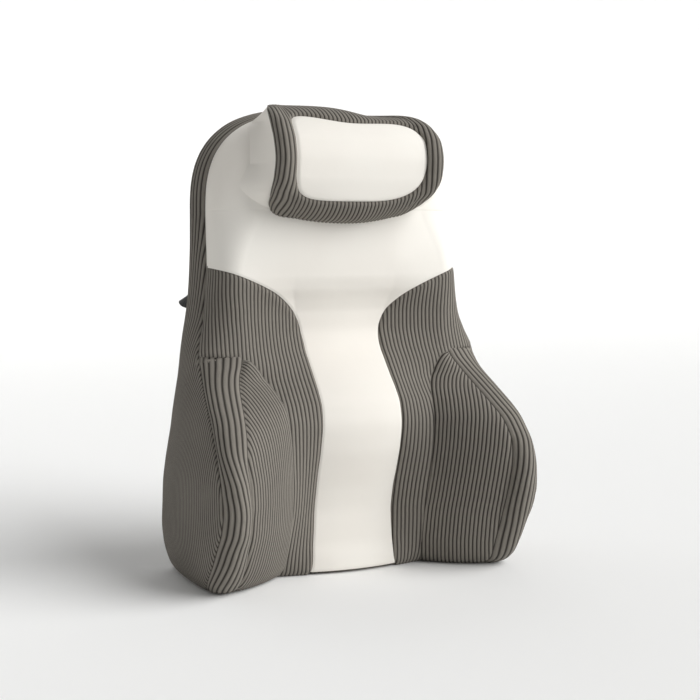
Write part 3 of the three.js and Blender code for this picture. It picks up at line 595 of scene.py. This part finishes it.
def wing_panels():
    """The right wing's inner panel, band and outer panel, counterclockwise from above, each
    with its cloth pitches and distance from a seam. The first two are chords between seams,
    puffed by a parabola square to the chord. The third is the pad's side, drawn in at the seam."""
    z = wing_rows
    above = CREASE_TURN_HALF + CREASE_SLOPE * (z - CREASE_TURN)
    x0 = np.where(z < CREASE_TURN, front["crease_half"](z), above) - CREASE_IN
    up = np.clip((z - DOME_FROM) / DOME_RISE, 0, 1)
    dome = 1 - (1 - up ** DOME_POWER) ** (1 / DOME_POWER)
    x0 = x0 + (band["half"](z) - DOME_LEFT - x0) * dome
    crease = np.concatenate([x0, front_depth(z, x0) - WING_SINK], 1)
    inner = np.concatenate([band["half"](z), band["depth"](z)], 1)
    outer = np.concatenate([side_half(z, side["seam_depth"](z)), side["seam_depth"](z)], 1)
    inner = inner + INNER_SEAM_SHIFT
    outer = outer + OUTER_SEAM_SHIFT

    def square(chord):
        """Unit normal of each row's chord, and the chord's length."""
        length = np.linalg.norm(chord, axis=1, keepdims=True)
        return np.stack([-chord[:, 1], chord[:, 0]], 1) / length, length

    def above_pad(x, depth):
        """Keeps a panel above the sunk front of the pad, as far as the pad reaches."""
        pad_half = side_half(z, edge_depth(z))
        lowest = front_depth(z, np.minimum(x, pad_half)) - WING_SINK + WING_CLEAR
        return np.where(x < pad_half, np.maximum(depth, lowest), depth)

    top_sink = TOP_SINK * smooth_step((z - TOP_SINK_FROM) / TOP_SINK_OVER)
    normal, length = square(inner - crease)
    s = np.minimum(np.arange(0, length.max() + 1, RIB_PITCH / RIB_STEPS)[None, :], length)
    puff = INNER_PUFF * 4 * (s / length) * (1 - s / length)
    lift = (puff + SEAM_SWELL * (1 - bell(length - s, SWELL_WIDTH))) * smooth_step(s / CREASE_SOFT)
    flat = between(crease, inner, s / length) + normal[:, None] * lift[..., None]
    first = grid(flat[..., 0], above_pad(flat[..., 0], flat[..., 1]) - top_sink, z)
    first = (first, s / RIB_PITCH, length - s)

    normal, width = square(outer - inner)
    even = np.linspace(0, 1, BAND_RIBS * RIB_STEPS + 1)[None, :] * np.ones_like(z)
    t = even_share(even)
    near = np.minimum(t, 1 - t) * width
    lift = band["puff"](z) * 4 * t * (1 - t) + SEAM_SWELL * (1 - bell(near, SWELL_WIDTH))
    flat = between(inner, outer, t) + normal[:, None] * lift[..., None]
    second_sink = top_sink * (1 - even ** 4)
    second = grid(flat[..., 0], above_pad(flat[..., 0], flat[..., 1]) - second_sink, z)
    second = (second, even * BAND_RIBS, near)

    seam = side["seam_depth"](z)
    columns = np.arange(OUTER_FIRST, OUTER_LAST, -1)[None, :]
    depth = np.clip(columns * RIB_PITCH / RIB_STEPS, edge_depth(z), seam)
    drawn = OUTER_DRAW * bell(seam - depth, SEAM_WIDTH)
    third = grid(side_half(z, depth) - drawn, np.minimum(depth, seam - OUTER_DRAW), z)
    third[:, 0] = second[0][:, -1]
    third = (third, depth / RIB_PITCH, seam - depth)
    return first, second, third


# The fourth side, on the pad, sinks into it over ROOT_EASE from the outer panel.
ROOT_EASE = 4.0
panels = []
for points, pitches, edge_run in wing_panels():
    rims = points[:, 0].copy(), points[:, -1].copy()
    lifted = raised(points, pitches, edge_run)
    lifted[:, 0], lifted[:, -1] = rims
    panels.append((lifted, cloth_map(pitches, wing_rows / RIB_PITCH)))
start_point, end_point = panels[0][0][:, 0], panels[2][0][:, -1]
root_share = np.linspace(0, 1, 25)[None, :]
root_x = end_point[:, :1] + (start_point[:, :1] - end_point[:, :1]) * root_share
root_sink = WING_SINK * np.clip((end_point[:, :1] - root_x) / ROOT_EASE, 0, 1)
wing_root = grid(root_x, front_depth(wing_rows, root_x) - root_sink, wing_rows)
wing_root[:, 0], wing_root[:, -1] = end_point, start_point
panels.append((wing_root, plain_map(wing_root)))
for name, solid, turned in (("right_wing", "wing_right", False), ("left_wing", "wing_left", True)):
    cut = [(mirrored(p), c[:, ::-1]) if turned else (p, c) for p, c in panels]
    wing = sewn(name, cut)
    wing.data.materials.append(corduroy)
    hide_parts(solid)
    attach(wing, "root")


# Head roll: a soft foam bolster in the cream knit, fixed low on the yoke so that its ends
# flare out and blend into it. A corduroy band wraps it and frames the cream face panel.

# The roll's middle and half height, how much of that counts, and its half width at the outer
# seam and at the face panel's ends. Then the panel's lower and upper edge and its sag.
ROLL_CENTRE, ROLL_HALF_HEIGHT, ROUND_LIMIT = 523.0, 76.5, 0.985
ROLL_SEAM_HALF, ROLL_PANEL_HALF = 113.0, 88.0
PANEL_LOW, PANEL_HIGH, PANEL_DIP = 475.0, 584.0, 10.0
PANEL_MIDDLE, PANEL_REACH = (PANEL_LOW + PANEL_HIGH) / 2, (PANEL_HIGH - PANEL_LOW) / 2
BAND_PUFF = 12.0
# Share of the way across where the face ends, and of the sag that comes back on the right.
FACE_SHARE, SAG_RETURN = 0.7, 0.35
# Ends of the path round the roll, in mm.
PATH_START, PATH_END = -16, 241
# Past OPEN_FROM above and below the face's middle, the round end starts softly.
OPEN_FROM, OPEN_OVER, OPEN_HUMP = 40.0, 14.0, 5.4
BODY_SINK, BODY_SINK_WIDTH = 3.2, 6.0
# Powers of the rounded corners, seen from the front: left low, left high, right low, right high.
ROLL_POWERS = (3.6, 8.5, 2.5, 3.0)
PANEL_POWERS = (5.0, 9.0, 3.0, 4.0)
# Up the roll's outline from its foot on the yoke below, over the face, to its foot above.
roll = smooth_table(["z", "middle", "fall", "seam_depth", "foot_half"], [
    [-16, 447.5, 72, 8, 54, 56], [0, 449, 88, 18, 62, 62], [20, 453, 112, 24, 68, 80],
    [37, 461, 127, 20, 81, 100], [51, 472, 136, 11, 95, 118], [67, 486, 142, 5, 115, 138],
    [88, 506, 147.5, 3, 131, 155], [110, 528, 150, 3, 136, 160], [133, 550, 146, 3, 131, 156],
    [152, 566, 136, 4, 122, 140], [168, 578, 124, 6, 112, 120], [182, 587, 112, 9, 100, 104],
    [195, 593, 98, 12, 86, 88], [217, 597, 76, 8, 64, 60], [241, 598.5, 53, 2, 50, 52],
])


def corner_power(powers, x, z, middle):
    """The corner power that holds at a point: low or high, left or right."""
    low_left, high_left, low_right, high_right = powers
    low, high = np.where(x < 0, low_left, low_right), np.where(x < 0, high_left, high_right)
    return np.where(z < middle, low, high)


def roll_round(z, x):
    """Share of the roll's half width at a level, on the side of x: a superellipse of its height."""
    power = corner_power(ROLL_POWERS, x, z, ROLL_CENTRE)
    share = np.clip(np.abs(z - ROLL_CENTRE) / ROLL_HALF_HEIGHT, 0, ROUND_LIMIT)
    return (1 - share ** power) ** (1 / power)


def end_share(across):
    """How far round the roll's end a place lies: 0 on the face and 1 at the outer seam."""
    return np.clip((np.abs(across) - FACE_SHARE) / (1 - FACE_SHARE), 0, 1)


def roll_surface(path, across):
    """A point on the roll. Across runs from 0 at the middle to 0.7 at the face's end and 1 at
    the band's outer seam: a parabola on the face, then a chord with a hump round the end,
    which starts at the panel's seam, but softly above and below the panel."""
    z = roll["z"](path)
    draw = roll_round(z, across)
    face_half = ROLL_PANEL_HALF * draw
    middle, fall = roll["middle"](path), roll["fall"](path)
    t = even_share(end_share(across))
    x = np.minimum(np.abs(across) / FACE_SHARE, 1) * face_half
    depth = middle - fall * (x / face_half) ** 2
    start = np.stack(np.broadcast_arrays(face_half, middle - fall), -1)
    seam = np.stack(np.broadcast_arrays(ROLL_SEAM_HALF * draw, roll["seam_depth"](path)), -1)
    chord = seam - start
    width = np.linalg.norm(chord, axis=-1)
    open_end = smooth_step((np.abs(z - PANEL_MIDDLE) - OPEN_FROM) / OPEN_OVER)
    hump = 4 * t * (1 - t) * (1 - open_end) + OPEN_HUMP * t * t * (1 - t) * open_end
    lift = BAND_PUFF * draw * hump / width
    end_x = start[..., 0] + chord[..., 0] * t - chord[..., 1] * lift
    end_depth = start[..., 1] + chord[..., 1] * t + chord[..., 0] * lift
    on_end = np.abs(across) > FACE_SHARE
    return np.sign(across) * np.where(on_end, end_x, x), np.where(on_end, end_depth, depth), z


def panel_sag(x):
    """How far the face panel's upper edge sags: a cosine, which comes back less on the right."""
    share = 0.5 - 0.5 * np.cos(np.pi * np.clip(x / ROLL_PANEL_HALF, -1, 1))
    return PANEL_DIP * (1 - np.where(x < 0, 1.0, SAG_RETURN) * share)


def panel_inside(x, z):
    """How far inside the face panel's outline a point lies, seen from the front, in mm: a
    rounded rectangle whose upper edge sags."""
    power = corner_power(PANEL_POWERS, x, z, PANEL_MIDDLE)
    above = (z - PANEL_MIDDLE) / (PANEL_REACH - np.where(z > PANEL_MIDDLE, panel_sag(x), 0))
    share = (np.abs(x / ROLL_PANEL_HALF) ** power + np.abs(above) ** power) ** (1 / power)
    return (1 - share) * np.minimum(ROLL_PANEL_HALF, PANEL_REACH)


# The body: its face, and round it a bed sunk to make room for the band.
path = np.linspace(PATH_START, PATH_END, 171)[:, None]
across = np.linspace(-1, 1, 181)[None, :]
x, depth, z = roll_surface(path, across)
covered = smooth_step(0.5 - panel_inside(x, z) / BODY_SINK_WIDTH)
body = grid(x, depth, z)
body = body - normals(body) * (BODY_SINK * covered)[..., None]


def arch_height(x, depth):
    """Height of the pad's arch over a point: the superellipse, lower towards the seam."""
    out = np.minimum(np.abs(x) / side["seam_half"](ARCH_START), 1)
    return ARCH_START + arch_rise(depth) * (1 - out ** ARCH_POWER) ** (1 / ARCH_POWER)


def yoke_point(x):
    """Depth and height where the roll ends at x: just inside the yoke's front, and in the
    arch just under its height."""
    depth = np.maximum(front_depth(yoke_level, x / yoke_narrow) - YOKE_IN, YOKE_LEAST)
    return depth, np.minimum(row_z, arch_height(x, depth) - ARCH_GAP)


# The flares: from the outer seam the knit sweeps out and back to the yoke's front, where it
# ends just inside the yoke's own edge. x goes with a power of the way that makes the meeting
# soft high up and a sharp crease at the lower corners. Where a corner of the roll stands
# higher than the yoke, the flare slopes down behind it to the arch.
# How far inside the yoke they end, their least depth, the gaps to the arch and the yoke's
# edge, and the highest level. Then the power's low value, its gain and the heights of that.
YOKE_IN, YOKE_LEAST, ARCH_GAP, YOKE_RIM, YOKE_TOP = 1.2, 22.0, 1.5, 2.0, 597.0
POWER_LOW, POWER_MORE, POWER_FROM, POWER_OVER = 1.15, 0.65, 465.0, 60.0
row_z = roll["z"](path)
raised_level = ARCH_START + (row_z - ARCH_START) * ARCH_BACK / ARCH_SEAM
yoke_level = np.minimum(np.maximum(row_z, raised_level), YOKE_TOP)
_, _, yoke_narrow = level(yoke_level)
yoke_reach = side_half(yoke_level, edge_depth(yoke_level)) - YOKE_RIM
foot_x = np.minimum(roll["foot_half"](path), yoke_reach)
flare_share = np.linspace(0, 1, 31)[None, :]
flare_power = POWER_LOW + POWER_MORE * smooth_step((row_z - POWER_FROM) / POWER_OVER)
flares = []
for turn, start in ((-1, body[:, :1]), (1, body[:, -1:])):
    start_x, start_depth = turn * start[..., 0], ORIGIN_DEPTH - start[..., 1]
    end_x = np.maximum(foot_x, start_x + 1)
    end_depth, end_z = yoke_point(end_x)
    flare = grid(turn * (start_x + (end_x - start_x) * flare_share ** flare_power),
                 start_depth + (end_depth - start_depth) * flare_share,
                 row_z + (end_z - row_z) * flare_share)
    flare[:, 0] = start[:, 0]
    flares.append(flare)
left_flare, right_flare = flares
under_x = np.linspace(1, -1, 25)[None, :] * foot_x
under = grid(under_x, *yoke_point(under_x))
under[:, 0], under[:, -1] = right_flare[:, -1], left_flare[:, -1]
roll_loop = np.concatenate([body, right_flare[:, 1:], under[:, 1:], left_flare[:, -2::-1]], axis=1)
head_roll = sewn("roll_body", [(roll_loop, cloth_map(roll_loop[..., 0] / RIB_PITCH, path / RIB_PITCH))])
head_roll.data.materials.append(knit)
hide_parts("head_roll")
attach(head_roll, "root")


# Head roll band: one strip of the same corduroy, wrapped round the roll and sewn to the face
# panel's outline and to the flares. It is made of rings from that outline to the outer seam.
# Its ribs run up the roll, straight over the face and six of them round each end.

ROLL_END_RIBS = 6
# Farthest start of a ring across, the outer seam's power, and its reach along the path.
INNER_LIMIT, OUTER_POWER, OUTER_REACH = 0.84, 14, 128.0
# How far the band stands proud, its ribs' height, how far it is drawn in at its seams and
# over what width, how thick it is, and how many of its rings its underside leaves out.
BAND_PROUD, BAND_RISE, BAND_DRAW, BAND_DRAW_WIDTH, BAND_UNDER, UNDER_STEP = 0.3, 1.5, 1.4, 2.5, 2.4, 6
# A point inside the roll, from which outwards is told.
INSIDE_ROLL = [0, 40, ROLL_CENTRE]
angle = np.linspace(0, 2 * np.pi, 1101)[None, :]
cosine, sine = np.cos(angle), np.sin(angle)


def corner_radius(power):
    """Polar radius of a superellipse of half width and half height 1."""
    return (np.abs(cosine) ** power + np.abs(sine) ** power) ** (-1 / power)


radius = corner_radius(corner_power(PANEL_POWERS, cosine, sine, 0))
outline_x = ROLL_PANEL_HALF * radius * cosine
outline_z = PANEL_MIDDLE + radius * sine * (PANEL_REACH - np.where(sine > 0, panel_sag(outline_x), 0))
path_of_z = np.linspace(PATH_START, PATH_END, 500)
inner_path = np.interp(outline_z, roll["z"](path_of_z), path_of_z)
inner_across = FACE_SHARE * outline_x / (ROLL_PANEL_HALF * roll_round(outline_z, outline_x))
inner_across = np.clip(inner_across, -INNER_LIMIT, INNER_LIMIT)
outer_across = corner_radius(OUTER_POWER) * cosine
outer_path = (PATH_START + PATH_END) / 2 + OUTER_REACH * corner_radius(OUTER_POWER) * sine
ring = np.linspace(0, 1, 43)[:, None]
ring_across = inner_across + (outer_across - inner_across) * ring
ring_path = inner_path + (outer_path - inner_path) * ring
x, depth, z = roll_surface(ring_path, ring_across)
surface = grid(x, depth, z)
face_run = np.minimum(np.abs(ring_across), FACE_SHARE) / FACE_SHARE * ROLL_PANEL_HALF
face_pitch = face_run * roll_round(z, ring_across) / RIB_PITCH
ring_pitch = face_pitch + end_share(ring_across) * ROLL_END_RIBS
step_in = np.linalg.norm(np.diff(surface, axis=0), axis=-1)
from_panel = np.concatenate([np.zeros_like(angle), np.cumsum(step_in, axis=0)])
ring_edge = np.minimum(from_panel, from_panel[-1:] - from_panel)
outside = normals(surface)
outside = outside * np.sign((outside * (surface - INSIDE_ROLL)).sum(-1))[..., None]
draw_in = BAND_DRAW * bell(ring_edge, BAND_DRAW_WIDTH)
cords = BAND_RISE * ribs(ring_pitch) * (1 - bell(ring_edge, RIB_FADE))
top_cloth = surface + outside * (BAND_PROUD - draw_in + cords)[..., None]
under_cloth = surface - outside * BAND_UNDER
ring_loop = np.concatenate([top_cloth, under_cloth[::-UNDER_STEP], top_cloth[:1]], axis=0)
loop_pitch = np.concatenate([ring_pitch, ring_pitch[::-UNDER_STEP], ring_pitch[:1]], axis=0)
roll_band = sewn("roll_band", [(ring_loop, cloth_map(loop_pitch, ring_loop[..., 2] / RIB_PITCH))])
roll_band.data.materials.append(corduroy)
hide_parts("head_roll_band")
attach(roll_band, "root")


# Strap: 38 mm black polypropylene webbing, sewn upright into both side seams. Slack, it
# stands off the back, leans in at its upper edge and sags a little.

STRAP_WIDTH, STRAP_THICK = 38.0, 2.0
STRAP_HALF, STRAP_REACH, STRAP_GAP, STRAP_POWER = 177.0, 44.0, 0.3, 4
STRAP_Z, STRAP_SAG = 357.0, 12.0
# Lean in degrees where it is most and at the middle, and the share of the way to the most.
STRAP_LEAN, STRAP_LEAN_MIDDLE, LEAN_AT = 60.0, 25.0, 0.12


def strap_line(turn):
    """The middle line: a superellipse seen from above, with a sag of a squared sine."""
    c, s = np.cos(np.pi * turn), np.maximum(np.sin(np.pi * turn), 0)
    x = STRAP_HALF * np.sign(c) * np.abs(c) ** (2 / STRAP_POWER)
    back = -STRAP_GAP - STRAP_REACH * s ** (2 / STRAP_POWER)
    return np.stack([x, ORIGIN_DEPTH - back, STRAP_Z - STRAP_SAG * s ** 2], -1)


# Black webbing: flat ribs of warp about 2 mm apart across the width, crossed by a fine
# weft, with the slight gloss of melt-spun yarn.
def webbing_material():
    material = new_material("woven polypropylene webbing, black")
    uv = node(material, "ShaderNodeUVMap", {"uv_map": "cloth"})
    place = node(material, "ShaderNodeMapping", {"Scale": (RIB_PITCH, RIB_PITCH, 1.0)}, Vector=uv.outputs[0])
    weft = node(material, "ShaderNodeTexWave", {"bands_direction": "Y", "Scale": 0.12, "Distortion": 0.4},
                Vector=place.outputs[0])
    warp = node(material, "ShaderNodeTexWave", {"bands_direction": "X", "Scale": 0.16, "Distortion": 0.2},
                Vector=place.outputs[0])
    weave = node(material, "ShaderNodeMath", {"operation": "MULTIPLY"}, i0=weft.outputs["Fac"],
                 i1=warp.outputs["Fac"])
    colour = node(material, "ShaderNodeMix",
                  {"data_type": "RGBA", COLOUR_A: linear("0c0c0d"), COLOUR_B: linear("26262a")},
                  i0=weave.outputs[0])
    bump = node(material, "ShaderNodeBump", {"Strength": 0.6, "Distance": 0.0005}, Height=weave.outputs[0])
    return finished(material, colour.outputs[2], bump, {"Roughness": 0.6})


turn = 0.5 - 0.5 * np.cos(np.pi * np.linspace(0, 1, 241))
ahead = strap_line(np.minimum(turn + 1e-3, 1)) - strap_line(np.maximum(turn - 1e-3, 0))
ahead[:, 2] = 0
ahead[0], ahead[-1] = [0, 1, 0], [0, -1, 0]
ahead = ahead / np.linalg.norm(ahead, axis=1, keepdims=True)
sideways = np.cross(ahead, [0, 0, 1])
from_end = np.minimum(turn, 1 - turn)
eased = smooth_step((from_end - LEAN_AT) / (0.5 - LEAN_AT))
lean = STRAP_LEAN * smooth_step(from_end / LEAN_AT) + (STRAP_LEAN_MIDDLE - STRAP_LEAN) * eased
lean = np.radians(lean)[:, None]
wide = np.array([[0, 0, 1]]) * np.cos(lean) - sideways * np.sin(lean)
thick = np.cross(ahead, wide)
# Its cross section, with rounded selvedges: one half, and the same turned round.
reach, inner, thin = STRAP_WIDTH / 2, 9.0, STRAP_THICK / 2
half_outline = np.array([[-reach, 0], [-reach + 0.3, -0.7 * thin], [-reach + 1, -thin],
                         [-inner, -thin], [0, -thin], [inner, -thin], [reach - 1, -thin],
                         [reach - 0.3, -0.7 * thin]])
outline = np.concatenate([half_outline, -half_outline, half_outline[:1]])[None]
middle_line = strap_line(turn)
strap_points = middle_line[:, None] + wide[:, None] * outline[..., :1] + thick[:, None] * outline[..., 1:]
strap_steps = np.linalg.norm(np.diff(middle_line, axis=0), axis=1)
along = np.concatenate([[0], np.cumsum(strap_steps)])[:, None]
strap = sewn("back_strap", [(strap_points, cloth_map(outline[..., 0] / RIB_PITCH, along / RIB_PITCH))])
strap.data.materials.append(webbing_material())
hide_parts("strap")
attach(strap, "root")


# Studio: a plain pale floor that curves up into a wall far behind, one very soft light from
# the front right and above, and a weak even light from the pale room.

# Sizes in metres: how far the floor reaches, where it bends up, the bend's radius, the top.
FLOOR_REACH, BEND_AT, BEND, WALL_TOP = 40.0, 3.0, 1.5, 6.0
turned = np.radians(np.linspace(0, 90, 19))
profile = [(-FLOOR_REACH, 0.0)]
profile += [(BEND_AT + BEND * np.sin(a), BEND - BEND * np.cos(a)) for a in turned]
profile += [(BEND_AT + BEND, WALL_TOP)]
sweep_points = [(x, y, z) for y, z in profile for x in (-FLOOR_REACH, FLOOR_REACH)]
sweep_faces = [(2 * i, 2 * i + 1, 2 * i + 3, 2 * i + 2) for i in range(len(profile) - 1)]
floor_mesh = bpy.data.meshes.new("floor")
floor_mesh.from_pydata([tuple(float(v) for v in p) for p in sweep_points], [], sweep_faces)
floor_mesh.polygons.foreach_set("use_smooth", np.ones(len(floor_mesh.polygons), bool))
floor = bpy.data.objects.new("floor", floor_mesh)
bpy.context.scene.collection.objects.link(floor)
paper = new_material("matt white paper")
paper_shader = paper.node_tree.nodes["Principled BSDF"]
paper_shader.inputs["Base Color"].default_value = linear("f4f4f3")
paper_shader.inputs["Roughness"].default_value = 0.95
floor_mesh.materials.append(paper)

world = bpy.data.worlds.new("pale room")
bpy.context.scene.world = world
world.use_nodes = True
background = world.node_tree.nodes["Background"]
background.inputs["Color"].default_value = linear("ffffff")
background.inputs["Strength"].default_value = 0.22
bpy.context.scene.view_settings.view_transform = "Standard"

# The point that the camera and the light look at, in metres.
TARGET = np.array([0.020, ORIGIN_DEPTH / MM_PER_METRE - 0.060, 0.282])


def aimed(thing, offset):
    """Places a light or camera at an offset from the target and turns it to look at that."""
    thing.location = Vector([float(v) for v in TARGET + offset])
    thing.rotation_euler = Vector([-float(v) for v in offset]).to_track_quat("-Z", "Y").to_euler()
    bpy.context.scene.collection.objects.link(thing)


key_light = bpy.data.lights.new("soft key light", "SUN")
key_light.angle = np.radians(55)
key_light.energy = 3.25
aimed(bpy.data.objects.new("soft key light", key_light), np.array([1.9, -1.7, 1.75]))

# The photograph's view: 24 degrees round to the left and 5.3 above level, 1.78 m away, with
# a focal length of 1347 of its 700 pixels across.
azimuth, elevation, distance = np.radians(24.0), np.radians(5.32), 1.78
FOCAL_PIXELS, PICTURE_PIXELS = 1347, 700
towards = np.array([-np.sin(azimuth) * np.cos(elevation), -np.cos(azimuth) * np.cos(elevation),
                    np.sin(elevation)])
lens = bpy.data.cameras.new("camera")
lens.sensor_width = 36.0
lens.lens = lens.sensor_width * FOCAL_PIXELS / PICTURE_PIXELS
lens.clip_end = 30.0
camera = bpy.data.objects.new("camera", lens)
aimed(camera, towards * distance)
bpy.context.scene.camera = camera
